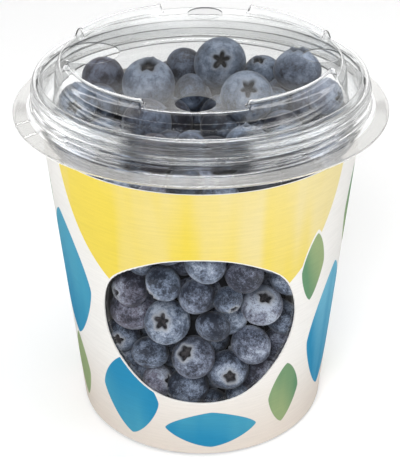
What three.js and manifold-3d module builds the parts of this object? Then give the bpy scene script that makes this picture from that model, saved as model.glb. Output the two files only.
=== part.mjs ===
// A round clear tub of blueberries: a tapered clear cup in a printed card sleeve with a window,
// filled with berries and shut by a clear push-on lid with four ribs and four vent holes.
// Millimetres, +Z up, origin at the middle of the base. The window in the sleeve faces -Y.
import * as THREE from 'three';
import { mergeVertices } from 'three/addons/utils/BufferGeometryUtils.js';
import Module from 'manifold-3d';

const wasm = await Module();
wasm.setup();

// ---------------------------------------------------------------- driving dimensions

const FACETS = 48; // flat faces round the tub
const CLEARANCE = 0.3; // left between pieces that touch

const CUP_FOOT_RADIUS = 41.6;
const CUP_BASE_RADIUS = 42.8;
const CUP_DRAFT = 0.0805; // how much the radius grows for each millimetre of height
const CUP_WALL = 0.9;
const CUP_FLOOR = 1.2;
const CUP_SHOULDER = 109.5; // height where the wall steps out under the lid
const CUP_STEP_HEIGHT = 2;
const CUP_RIM_RADIUS = 53.1;
const CUP_TOP = 121.8;

const CARD = 0.6; // thickness of the sleeve
const SLEEVE_BOTTOM = 1;
const SLEEVE_TOP = 106.8;

// The window's outline, as x and height on the sleeve's front: one smooth closed curve.
const WINDOW_OUTLINE = [
  [2, 82.6], [15, 79.2], [26.2, 70.5], [30.4, 55], [26.4, 39.6],
  [14.8, 27.2], [-1, 24.2], [-17.4, 28.1], [-29, 42], [-31.6, 58],
  [-27.5, 71.5], [-13.5, 80.6],
];
const WINDOW_STEPS = 36;

const LID_SHEET = 0.8;
const LID_DISC_HEIGHT = 129.5;
const LID_CROWN_RADIUS = 46.9;
const LID_CHANNEL_HEIGHT = 115;
const LID_FLANGE_RADIUS = 61;
// The lid's outside from its middle to the flange's edge, as radius and height.
const LID_PROFILE = [
  [0, LID_DISC_HEIGHT], // flat disc
  [45.4, LID_DISC_HEIGHT],
  [45.9, 127.1], // small step round the crown
  [LID_CROWN_RADIUS, 126.7],
  [47.7, 115.7], // foot of the crown's wall
  [48.3, LID_CHANNEL_HEIGHT],
  [50.5, LID_CHANNEL_HEIGHT], // floor of the channel
  [51.1, 115.7],
  [51.1, 122.8], // collar that grips the cup's rim
  [51.7, 124.6],
  [53.4, 124.1],
  [54.3, 123.1],
  [55.8, 114.5], // flange
  [LID_FLANGE_RADIUS, 113.8],
];

const LID_TURN = THREE.MathUtils.degToRad(-2.3); // the crown's features sit slightly off the front
const QUARTER_TURN = Math.PI / 2;
const RIB_OUTER_RADIUS = 45.1;
const RIB_WIDTH = 2.9;
const RIB_HEIGHT = 2.5;
const RIB_ARC = THREE.MathUtils.degToRad(49);
const RIB_STEPS = 8;
const VENT_PLACE_RADIUS = 38.6;
const VENT_RADIUS = 6.1;
const BIG_VENT_PLACE_RADIUS = 35.4;
const BIG_VENT_RADIUS = 9.4;
const BIG_VENT_QUARTER = 3; // front, right, back and then left
const VENT_SIDES = 20;

// Berries picked out by hand: x, y, height and radius. They lie on top or behind the window.
const CHOSEN_ON_TOP = [
  [-32.9, 15.4, 117, 7.2], [-17.4, 6.2, 117.5, 8.7], [6.6, 23.5, 118, 8.7],
  [14.8, -4, 118, 8.7], [32.6, 16.8, 117, 8.1], [-6.5, 31.4, 113, 7],
  [21.6, 34.9, 110.8, 6.5], [-3.7, 16, 110.5, 6], [-39.6, -5.4, 115, 6.2],
  [40.6, -1, 115, 5.6], [-17.5, -7.2, 108.5, 7.8], [-3.6, -27, 109, 5.6],
  [-14.6, -28.5, 108, 6.2], [13.9, -25, 109, 6.7], [-33.5, 3.8, 110.8, 6.2],
  [6, -7.5, 107, 6.2], [26.5, -7, 106, 6.5], [35.5, 6, 109, 5.6],
];
// Degrees round from the front, height and radius, each berry resting against the cup's wall.
const CHOSEN_AT_WINDOW = [
  [-16.7, 51.4, 7.3], [-4.5, 37.8, 7], [29.4, 56.4, 6.7], [25.2, 40.6, 6.5],
  [13.5, 31.5, 6.7], [-7.4, 24.5, 6.7], [5.2, 51.7, 5.5], [-2.1, 64, 5.7],
  [-17.2, 68, 5.9], [-43, 40.8, 5.9], [-26.1, 37.4, 6], [11.5, 62.9, 4.6],
  [18.9, 71, 6], [-34.5, 62.5, 6.1], [1.6, 76.8, 6.6], [44, 64, 6.2],
  [43.5, 47.5, 6.4], [-23, 26, 5.7],
];

const BERRY_COUNT = 348; // besides the chosen ones
const SMALLEST_BERRY = 5.5;
const LARGEST_BERRY = 8;
const HEAP_BOTTOM = 8; // the loose berries start between these heights
const HEAP_TOP = 112;
const LOOSE_TOP = 114; // no loose berry reaches higher
// Behind the window's middle, loose berries stay this far off the wall.
const WINDOW_GAP = 3.5;
const GAP_HALF_ANGLE = THREE.MathUtils.degToRad(30);
const GAP_LOW = 24;
const GAP_HIGH = 80;
// A hollow in the heap's top, where loose berries reach less high.
const HOLLOW_MIDDLE = new THREE.Vector2(-2, -4);
const HOLLOW_DEPTH = 10;
const HOLLOW_WIDTH = 11;
const SPREAD_RADIUS = 42;
// Steps of three even sequences, for a berry's place across the tub, place round it and size.
const ACROSS_STEP = 0.7549;
const ROUND_STEP = 0.5698;
const SIZE_STEP = 0.618;
const SETTLING_STEPS = 200;
const PUSH = 0.4; // share of each overlap that one step takes away
const DROP = 0.25; // how far a loose berry falls in the first step

const FACETED_SIZE = 1.05; // a ball's flat sides cut into it, so it is made this much larger
const CORE_DEPTH = 8; // the core lies this far inside the cup's wall
const CORE_BOTTOM = 5;
const CORE_WAIST = 88; // above this height the core widens, to close the gap along the wall
const CORE_SHOULDER = 96;
const CORE_SHOULDER_DEPTH = 1.5;
const CORE_TOP = 104.5;
const CORE_TOP_RADIUS = 40;
const TOP_LAYER = 102; // berries above this height show on top
const BOTTOM_LAYER = 7.4; // berries below it show through the cup's floor
const WINDOW_LOW = 16;
const WINDOW_HIGH = 88;
const WINDOW_HALF_ANGLE = THREE.MathUtils.degToRad(48);
const WALL_REACH = 3.6; // a berry this near the wall shows at the window

// ---------------------------------------------------------------- solids

/** A closed manifold solid from a closed geometry, its shared vertices merged. */
function solidOf(geometry) {
  geometry.deleteAttribute('normal');
  geometry.deleteAttribute('uv');
  const merged = mergeVertices(geometry, 1e-4);
  return new wasm.Manifold(new wasm.Mesh({
    numProp: 3,
    vertProperties: new Float32Array(merged.attributes.position.array),
    triVerts: new Uint32Array(merged.index.array),
  }));
}

/** The geometry of a manifold solid. */
function geometryOf(solid) {
  const mesh = solid.getMesh();
  const geometry = new THREE.BufferGeometry();
  geometry.setAttribute('position', new THREE.BufferAttribute(mesh.vertProperties, 3));
  geometry.setIndex(new THREE.BufferAttribute(mesh.triVerts, 1));
  geometry.computeVertexNormals();
  return geometry;
}

/** A solid turned from a profile of [radius, height] points, given from the bottom outside upwards. */
function turned(profile) {
  const points = profile.map(([radius, height]) => new THREE.Vector2(radius, height));
  return solidOf(new THREE.LatheGeometry(points, FACETS).rotateX(QUARTER_TURN));
}

/** An upright cylinder with its middle at x, y, z. */
function peg(radius, height, x, y, z) {
  const geometry = new THREE.CylinderGeometry(radius, radius, height, VENT_SIDES);
  return solidOf(geometry.rotateX(QUARTER_TURN).translate(x, y, z));
}

/** The same line of points moved sideways by distance, mitred at its corners. */
function offsetLine(line, distance) {
  return line.map((point, i) => {
    const before = line[Math.max(i - 1, 0)];
    const after = line[Math.min(i + 1, line.length - 1)];
    const sides = [[before, point], [point, after]]
      .filter(([from, to]) => from !== to)
      .map(([from, to]) => new THREE.Vector2(to[1] - from[1], from[0] - to[0]).normalize());
    const mitre = sides.reduce((sum, side) => sum.clone().add(side)).normalize();
    const reach = distance / mitre.dot(sides[0]);
    return [point[0] + mitre.x * reach, point[1] + mitre.y * reach];
  });
}

// ---------------------------------------------------------------- cup, sleeve and lid

/** Radius of the cup's outside at a height below its shoulder. */
function cupOutside(height) {
  return CUP_BASE_RADIUS + CUP_DRAFT * height;
}

function cupSolid() {
  const shoulderRadius = cupOutside(CUP_SHOULDER);
  return turned([
    [0, 0],
    [CUP_FOOT_RADIUS, 0],
    [cupOutside(CUP_FLOOR), CUP_FLOOR],
    [shoulderRadius, CUP_SHOULDER],
    [CUP_RIM_RADIUS, CUP_SHOULDER + CUP_STEP_HEIGHT],
    [CUP_RIM_RADIUS, CUP_TOP],
    [CUP_RIM_RADIUS - CUP_WALL, CUP_TOP],
    [CUP_RIM_RADIUS - CUP_WALL, CUP_SHOULDER + CUP_STEP_HEIGHT],
    [shoulderRadius - CUP_WALL, CUP_SHOULDER + CUP_WALL / 2],
    [cupOutside(CUP_FLOOR) - CUP_WALL, CUP_FLOOR + CUP_WALL],
    [CUP_FOOT_RADIUS - CUP_WALL, CUP_FLOOR],
    [0, CUP_FLOOR],
  ]);
}

function sleeveSolid() {
  const inner = (height) => [cupOutside(height) + CLEARANCE, height];
  const outer = (height) => [cupOutside(height) + CLEARANCE + CARD, height];
  const band = turned([
    inner(SLEEVE_BOTTOM), outer(SLEEVE_BOTTOM), outer(SLEEVE_TOP), inner(SLEEVE_TOP),
    inner(SLEEVE_BOTTOM),
  ]);
  const corners = WINDOW_OUTLINE.map(([x, height]) => new THREE.Vector3(x, height, 0));
  const outline = new THREE.CatmullRomCurve3(corners, true).getSpacedPoints(WINDOW_STEPS);
  const shape = new THREE.Shape(outline.slice(0, -1).map(({ x, y }) => new THREE.Vector2(x, y)));
  const reach = LID_FLANGE_RADIUS;
  const cutter = new THREE.ExtrudeGeometry(shape, { depth: reach, bevelEnabled: false });
  return band.subtract(solidOf(cutter.rotateX(QUARTER_TURN)));
}

/** One of the crown's four ribs, centred on an angle from +X. */
function ribSolid(angle) {
  const inner = RIB_OUTER_RADIUS - RIB_WIDTH;
  const from = angle - RIB_ARC / 2;
  const to = angle + RIB_ARC / 2;
  const outline = new THREE.Shape();
  outline.absarc(0, 0, RIB_OUTER_RADIUS, from, to, false);
  outline.absarc(0, 0, inner, to, from, true);
  const depth = RIB_HEIGHT + LID_SHEET / 2;
  const options = { depth, bevelEnabled: false, curveSegments: RIB_STEPS };
  const geometry = new THREE.ExtrudeGeometry(outline, options);
  return solidOf(geometry.translate(0, 0, LID_DISC_HEIGHT - LID_SHEET / 2));
}

function lidSolid() {
  const underside = offsetLine(LID_PROFILE, LID_SHEET);
  let lid = turned([...underside, ...LID_PROFILE.toReversed()]);
  for (let quarter = 0; quarter < 4; quarter += 1) {
    const angle = LID_TURN - QUARTER_TURN + quarter * QUARTER_TURN;
    const big = quarter === BIG_VENT_QUARTER;
    const place = big ? BIG_VENT_PLACE_RADIUS : VENT_PLACE_RADIUS;
    const x = place * Math.cos(angle);
    const y = place * Math.sin(angle);
    const radius = big ? BIG_VENT_RADIUS : VENT_RADIUS;
    lid = lid.subtract(peg(radius, 4 * LID_SHEET, x, y, LID_DISC_HEIGHT));
    lid = lid.add(ribSolid(angle + QUARTER_TURN / 2));
  }
  return lid;
}

// ---------------------------------------------------------------- berries

/** Radius of the free space in the cup at a height. */
function cupInside(height) {
  return cupOutside(height) - CUP_WALL - CLEARANCE;
}

const LID_LINING = LID_SHEET + CLEARANCE;
const CROWN_INSIDE = LID_CROWN_RADIUS - LID_LINING; // free radius in the lid's crown
const CHANNEL_UNDERSIDE = LID_CHANNEL_HEIGHT - LID_LINING;
const BERRY_CEILING = LID_DISC_HEIGHT - LID_LINING;

/** How high the loose berries reach at a place. */
function looseTop({ x, y }) {
  const away = HOLLOW_MIDDLE.distanceTo(new THREE.Vector2(x, y));
  return LOOSE_TOP - HOLLOW_DEPTH * Math.exp(-((away / HOLLOW_WIDTH) ** 2));
}

/** How far loose berries stay off the wall at a place. */
function wallGap({ x, y, z }) {
  const inFront = Math.abs(Math.atan2(x, -y)) < GAP_HALF_ANGLE;
  return inFront && z > GAP_LOW && z < GAP_HIGH ? WINDOW_GAP : 0;
}

/** Moves a berry back inside the cup and the lid. */
function contain(berry) {
  const { place, radius } = berry;
  place.z = THREE.MathUtils.clamp(place.z, CUP_FLOOR + CLEARANCE + radius, looseTop(place) - radius);
  const away = Math.hypot(place.x, place.y);
  const space = place.z < CHANNEL_UNDERSIDE ? cupInside(place.z) : CROWN_INSIDE;
  const free = space - wallGap(place);
  if (away > free - radius) {
    place.x *= (free - radius) / away;
    place.y *= (free - radius) / away;
  }
  const outward = Math.max(CROWN_INSIDE - Math.hypot(place.x, place.y), 0);
  const headroom = Math.sqrt(Math.max(radius ** 2 - outward ** 2, 0));
  if (place.z < CHANNEL_UNDERSIDE && outward < radius) {
    place.z = Math.min(place.z, CHANNEL_UNDERSIDE - headroom);
  }
}

/** The chosen berries, which stay where they are put. */
function chosenBerries() {
  const onTop = CHOSEN_ON_TOP.map(([x, y, z, radius]) => (
    { place: new THREE.Vector3(x, y, z), radius, chosen: true }));
  const atWindow = CHOSEN_AT_WINDOW.map(([degrees, z, radius]) => {
    const angle = THREE.MathUtils.degToRad(degrees);
    const away = cupInside(z) - radius;
    const place = new THREE.Vector3(away * Math.sin(angle), -away * Math.cos(angle), z);
    return { place, radius, chosen: true };
  });
  return [...onTop, ...atWindow];
}

/** The rest, spread evenly through the cup before they settle. */
function looseBerries() {
  return Array.from({ length: BERRY_COUNT }, (_, i) => {
    const across = SPREAD_RADIUS * Math.sqrt((i * ACROSS_STEP) % 1);
    const angle = 2 * Math.PI * ((i * ROUND_STEP) % 1);
    const z = THREE.MathUtils.lerp(HEAP_BOTTOM, HEAP_TOP, (i + 0.5) / BERRY_COUNT);
    const radius = THREE.MathUtils.lerp(SMALLEST_BERRY, LARGEST_BERRY, (i * SIZE_STEP) % 1);
    const place = new THREE.Vector3(across * Math.cos(angle), across * Math.sin(angle), z);
    return { place, radius, chosen: false };
  });
}

/** Lets the loose berries push each other apart and drop until they lie still. */
function settled(berries) {
  for (let step = 0; step < SETTLING_STEPS; step += 1) {
    const moves = berries.map(() => new THREE.Vector3());
    berries.forEach((one, i) => {
      for (let j = i + 1; j < berries.length; j += 1) {
        const other = berries[j];
        const apart = one.place.clone().sub(other.place);
        const overlap = one.radius + other.radius - apart.length();
        if (overlap > 0) {
          const share = one.chosen || other.chosen ? PUSH * 2 : PUSH;
          apart.setLength(overlap * share);
          moves[i].add(apart);
          moves[j].sub(apart);
        }
      }
    });
    berries.forEach((berry, i) => {
      if (!berry.chosen) {
        berry.place.add(moves[i]);
        berry.place.z -= DROP * (1 - step / SETTLING_STEPS);
        contain(berry);
      }
    });
  }
  return berries;
}

/** True if a berry shows through the cup's floor. */
function atFloor({ place }) {
  return place.z < BOTTOM_LAYER;
}

/** True if a berry shows on top or at the window. */
function inView({ place, radius }) {
  const onTop = place.z > TOP_LAYER;
  const nearWall = cupInside(place.z) - Math.hypot(place.x, place.y) < radius + WALL_REACH;
  const inFront = Math.abs(Math.atan2(place.x, -place.y)) < WINDOW_HALF_ANGLE;
  const atWindow = inFront && nearWall && place.z > WINDOW_LOW && place.z < WINDOW_HIGH;
  return onTop || atWindow;
}

/** The space that the cup and the lid leave free. */
function roomSolid() {
  const floor = CUP_FLOOR + CLEARANCE;
  return turned([
    [0, floor],
    [cupInside(floor), floor],
    [cupInside(CHANNEL_UNDERSIDE), CHANNEL_UNDERSIDE],
    [CROWN_INSIDE, CHANNEL_UNDERSIDE],
    [CROWN_INSIDE, BERRY_CEILING],
    [0, BERRY_CEILING],
  ]);
}

/** The heap: a plain core with the berries that show fused on, kept inside the cup and the lid. */
function heapSolid() {
  const core = turned([
    [0, CORE_BOTTOM],
    [cupInside(CORE_BOTTOM) - CORE_DEPTH, CORE_BOTTOM],
    [cupInside(CORE_WAIST) - CORE_DEPTH, CORE_WAIST],
    [cupInside(CORE_SHOULDER) - CORE_SHOULDER_DEPTH, CORE_SHOULDER],
    [CORE_TOP_RADIUS, CORE_TOP],
    [0, CORE_TOP],
  ]);
  const berries = settled([...chosenBerries(), ...looseBerries()]);
  const shown = berries.filter((berry) => inView(berry) || atFloor(berry));
  const heap = shown.reduce((solid, berry) => {
    const size = berry.radius * FACETED_SIZE;
    const ball = new THREE.IcosahedronGeometry(size, atFloor(berry) ? 0 : 1);
    return solid.add(solidOf(ball.translate(...berry.place)));
  }, core);
  return heap.intersect(roomSolid());
}

// ---------------------------------------------------------------- the tub

const clearPlastic = { color: 0xe9edee, roughness: 0.08, metalness: 0, transparent: true, opacity: 0.35 };
const printedCard = { color: 0xeee9df, roughness: 0.75, metalness: 0 };
const berrySkin = { color: 0x4c566a, roughness: 0.6, metalness: 0 };

const tub = new THREE.Group();
for (const [name, solid, finish] of [
  ['cup', cupSolid(), clearPlastic],
  ['sleeve', sleeveSolid(), printedCard],
  ['berries', heapSolid(), berrySkin],
  ['lid', lidSolid(), clearPlastic],
]) {
  const piece = new THREE.Mesh(geometryOf(solid), new THREE.MeshStandardMaterial(finish));
  piece.name = name;
  tub.add(piece);
}

export default tub;
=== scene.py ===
"""A round clear tub of blueberries in a printed card sleeve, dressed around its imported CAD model.

Lengths in this file are millimetres unless a name or docstring says otherwise. Meshes are
written in metres, in the CAD's own frame: +Z up, origin at the middle of the base, the sleeve's
window facing -Y.
"""

import logging
import math
from dataclasses import dataclass, field
from enum import Enum

import bmesh
import bpy
import numpy as np
import numpy.typing as npt
from mathutils import Matrix, Vector


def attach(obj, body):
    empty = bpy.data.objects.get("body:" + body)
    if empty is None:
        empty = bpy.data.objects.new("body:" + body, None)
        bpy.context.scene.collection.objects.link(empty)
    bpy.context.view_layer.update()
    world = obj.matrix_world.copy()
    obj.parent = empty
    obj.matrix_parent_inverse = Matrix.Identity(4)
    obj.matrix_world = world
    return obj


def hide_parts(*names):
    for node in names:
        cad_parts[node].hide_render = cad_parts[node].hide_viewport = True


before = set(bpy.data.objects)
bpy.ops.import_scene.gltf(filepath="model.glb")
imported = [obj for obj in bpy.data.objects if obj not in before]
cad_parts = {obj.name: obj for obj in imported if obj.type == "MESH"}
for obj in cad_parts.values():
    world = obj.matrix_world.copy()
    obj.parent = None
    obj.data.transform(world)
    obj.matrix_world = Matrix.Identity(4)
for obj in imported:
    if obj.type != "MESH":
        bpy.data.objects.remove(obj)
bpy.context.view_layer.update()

log = logging.getLogger("tub")
Array = npt.NDArray[np.float64]
Numbers = npt.NDArray[np.int64]

MM = 0.001
SEED = 20
BODY = "root"
FULL_TURN = 2 * math.pi
WELD_DISTANCE = 1e-7  # metres
CLEARANCE = 0.3  # left between pieces that touch in the CAD
SLEEVE_UV = "sheet"


class Mark(Enum):
    """Numbers stored on meshes for the finishes to read."""

    TONE = "tone"
    RIM = "rim"
    BASIN = "basin"
    BLUSH = "blush"
    INKED = "inked"


# ---- lines and surfaces


def rounded(corners: Array, radius: float, steps: int = 4) -> Array:
    """Rounds every inner corner of a line.

    A corner C becomes points on the curve (1-t)^2 A + 2t(1-t) C + t^2 B, where A and B lie on its
    two sides, radius away from it or a little under half-way along the side, whichever is nearer.

    Args:
        corners: The line's corners, one (radius, height) row each.
        radius: How far from a corner its rounding starts.
        steps: Points in each rounding.

    Returns:
        The rounded line, with 2 + (corners - 2) * steps points.
    """
    corner = corners[1:-1]

    def along(other: Array) -> Array:
        """Finds the point on each corner's side towards other where its rounding starts.

        Args:
            other: The corners' neighbours on that side.

        Returns:
            One point for each corner.
        """
        side = other - corner
        length = np.linalg.norm(side, axis=1, keepdims=True)
        return corner + side / length * np.minimum(radius, 0.45 * length)

    start, end = along(corners[:-2])[:, None], along(corners[2:])[:, None]
    t = np.linspace(0.0, 1.0, steps)[None, :, None]
    curve = (1 - t) ** 2 * start + 2 * t * (1 - t) * corner[:, None] + t**2 * end
    return np.vstack([corners[:1], curve.reshape(-1, 2), corners[-1:]])


def finer(line: Array, step: float) -> Array:
    """Cuts each side of a line into equal parts.

    Args:
        line: Points as (radius, height) rows.
        step: The longest that a part may be.

    Returns:
        The line with the added points.
    """
    lengths = np.linalg.norm(np.diff(line, axis=0), axis=1)
    parts = np.maximum(np.ceil(lengths / step), 1).astype(int)
    share = np.concatenate([k + np.arange(n) / n for k, n in enumerate(parts)] + [[len(line) - 1]])
    place = np.arange(len(line))
    return np.column_stack([np.interp(share, place, line[:, axis]) for axis in (0, 1)])


def offset(line: Array, distance: float) -> Array:
    """Moves a line sideways: each point goes distance along the line's right-hand normal there.

    Args:
        line: Points as (radius, height) rows.
        distance: How far the line moves.

    Returns:
        The moved line.
    """
    ahead = np.diff(line, axis=0, append=line[-1:] * 2 - line[-2:-1])
    behind = np.diff(line, axis=0, prepend=line[:1] * 2 - line[1:2])
    ahead /= np.linalg.norm(ahead, axis=1, keepdims=True)
    behind /= np.linalg.norm(behind, axis=1, keepdims=True)
    tangent = ahead + behind
    tangent /= np.linalg.norm(tangent, axis=1, keepdims=True)
    return line + distance * np.column_stack([tangent[:, 1], -tangent[:, 0]])


def smoothstep(value: Array, low: float, high: float) -> Array:
    """3t^2 - 2t^3, with t running from 0 at low to 1 at high."""
    t = np.clip((value - low) / (high - low), 0.0, 1.0)
    return t * t * (3 - 2 * t)


def revolved(radius: Array, height: Array, angles: Array) -> Array:
    """Points (r sin a, -r cos a, h) of a turned surface, angle a counted from the front, -Y.

    Args:
        radius: Radii, broadcast to (angles, profile points).
        height: Heights, broadcast likewise.
        angles: Angles in radians.

    Returns:
        An (angles, profile points, 3) grid.
    """
    radius, height, a = np.broadcast_arrays(radius, height, angles[:, None])
    return np.stack([radius * np.sin(a), -radius * np.cos(a), height], axis=-1)


def even_angles(count: int) -> Array:
    """Angles all the way round, starting at the back."""
    return np.arange(count) * FULL_TURN / count - math.pi


def grid_quads(rows: int, columns: int, wrap_rows: bool, wrap_columns: bool) -> Numbers:
    """The corner numbers of the quads of a grid of points, row by row.

    Args:
        rows: Rows of points.
        columns: Points in a row.
        wrap_rows: Whether the last row joins the first.
        wrap_columns: Whether the last column joins the first.

    Returns:
        One row of four corner numbers for each quad.
    """
    i = np.arange(rows if wrap_rows else rows - 1)[:, None]
    j = np.arange(columns if wrap_columns else columns - 1)[None, :]
    i2, j2 = (i + 1) % rows, (j + 1) % columns
    corners = [i * columns + j, i2 * columns + j, i2 * columns + j2, i * columns + j2]
    return np.stack(corners, axis=-1).reshape(-1, 4)


# ---- mesh objects


def mesh_object(
    name: str, points: Array, faces: list[list[int]], marks: dict[Mark, Array] | None = None
) -> bpy.types.Object:
    """Makes a smooth-shaded mesh object of points in millimetres, with its doubles merged.

    Args:
        name: The object's name.
        points: Points in the last axis, in any grid.
        faces: Corner numbers of each face.
        marks: Numbers to store on the points.

    Returns:
        The new object, at the origin, with its faces pointing outwards.
    """
    mesh = bpy.data.meshes.new(name)
    mesh.from_pydata((points.reshape(-1, 3) * MM).tolist(), [], faces)
    for mark, values in (marks or {}).items():
        mesh.attributes.new(mark.value, "FLOAT", "POINT").data.foreach_set("value", values)
    work = bmesh.new()
    work.from_mesh(mesh)
    bmesh.ops.remove_doubles(work, verts=work.verts, dist=WELD_DISTANCE)
    bmesh.ops.recalc_face_normals(work, faces=work.faces)
    work.to_mesh(mesh)
    work.free()
    mesh.shade_smooth()
    piece = bpy.data.objects.new(name, mesh)
    bpy.context.collection.objects.link(piece)
    return piece


def turned_object(name: str, profile: Array, angles: Array) -> bpy.types.Object:
    """Makes an object turned all the way round the tub's axis.

    Args:
        name: The object's name.
        profile: (radius, height) points, the same at every angle or a row of them for each.
        angles: The angles that carry points.

    Returns:
        The new object.
    """
    rows = profile if profile.ndim == 3 else profile[None]
    points = revolved(rows[..., 0], rows[..., 1], angles)
    return mesh_object(name, points, grid_quads(len(angles), rows.shape[1], True, False).tolist())


def block(name: str, start: Array, end: Array) -> bpy.types.Object:
    """Makes a closed block between two copies of a closed outline.

    Args:
        name: The object's name.
        start: (n, 3) points of the first copy.
        end: The points of the second copy.

    Returns:
        The new object.
    """
    count = len(start)
    points = np.array([start, end])
    caps = [list(range(count)), list(range(count, 2 * count))]
    return mesh_object(name, points, grid_quads(2, count, False, True).tolist() + caps)


def cut_away(piece: bpy.types.Object, cutters: list[bpy.types.Object], sharp_angle: float) -> None:
    """Cuts closed blocks out of a closed piece and removes them.

    Args:
        piece: The object that is cut.
        cutters: The blocks taken out of it.
        sharp_angle: Edges that turn more than this many degrees are shaded sharp.
    """
    for cutter in cutters:
        modifier = piece.modifiers.new("cut", "BOOLEAN")
        modifier.operation = "DIFFERENCE"
        modifier.solver = "EXACT"
        modifier.object = cutter
    finished = piece.evaluated_get(bpy.context.evaluated_depsgraph_get())
    mesh = bpy.data.meshes.new_from_object(finished)
    piece.modifiers.clear()
    piece.data = mesh
    mesh.set_sharp_from_angle(angle=math.radians(sharp_angle))
    for cutter in cutters:
        bpy.data.objects.remove(cutter)


def face_values(mesh: bpy.types.Mesh, kind: str) -> Array:
    """Reads one vector from each face of a mesh.

    Args:
        mesh: The mesh.
        kind: "center" for the middles, in metres, or "normal".

    Returns:
        One row for each face.
    """
    values = np.empty(len(mesh.polygons) * 3)
    mesh.polygons.foreach_get(kind, values)
    return values.reshape(-1, 3)


def dress(piece: bpy.types.Object, finishes: "list[Finish]", slot: str, node: str) -> None:
    """Gives a piece its materials and body, hides the CAD node that it stands for, and logs its
    record slot.

    Args:
        piece: The finished object.
        finishes: What its surfaces look like, in the order of its material numbers.
        slot: The record's material slot.
        node: The CAD node that the piece replaces.
    """
    numbers = np.zeros(len(piece.data.polygons), dtype=np.int32)
    piece.data.polygons.foreach_get("material_index", numbers)
    piece.data.materials.clear()
    for finish in finishes:
        piece.data.materials.append(finish.material())
    piece.data.polygons.foreach_set("material_index", np.minimum(numbers, len(finishes) - 1))
    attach(piece, BODY)
    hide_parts(node)
    triangles = sum(len(polygon.vertices) - 2 for polygon in piece.data.polygons)
    log.info("%s: %d triangles, slot %s", piece.name, triangles, slot)


# ---- shading


Socket = bpy.types.NodeSocket
Colour = tuple[float, float, float, float]
Value = Socket | float | tuple[float, ...]


WHITE: Colour = (1.0, 1.0, 1.0, 1.0)
SURFACES_PASSED = 3  # by a ray that shows the inside through several sheets
MIDDLE_TURN = 0.16  # radians that the middle of the mirrored surroundings lies left of the front
FRONT_TO_SIDE = (0.62, 0.85)  # radians from that middle
SIDE_TO_BACK = (1.5, 2.1)


def srgb(red: int, green: int, blue: int) -> Colour:
    """Turns 8-bit screen values into a linear colour.

    Args:
        red: From 0 to 255.
        green: From 0 to 255.
        blue: From 0 to 255.

    Returns:
        The opaque colour.
    """
    channels = [c / 255 for c in (red, green, blue)]
    linear = [c / 12.92 if c <= 0.04045 else ((c + 0.055) / 1.055) ** 2.4 for c in channels]
    return (*linear, 1.0)


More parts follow.
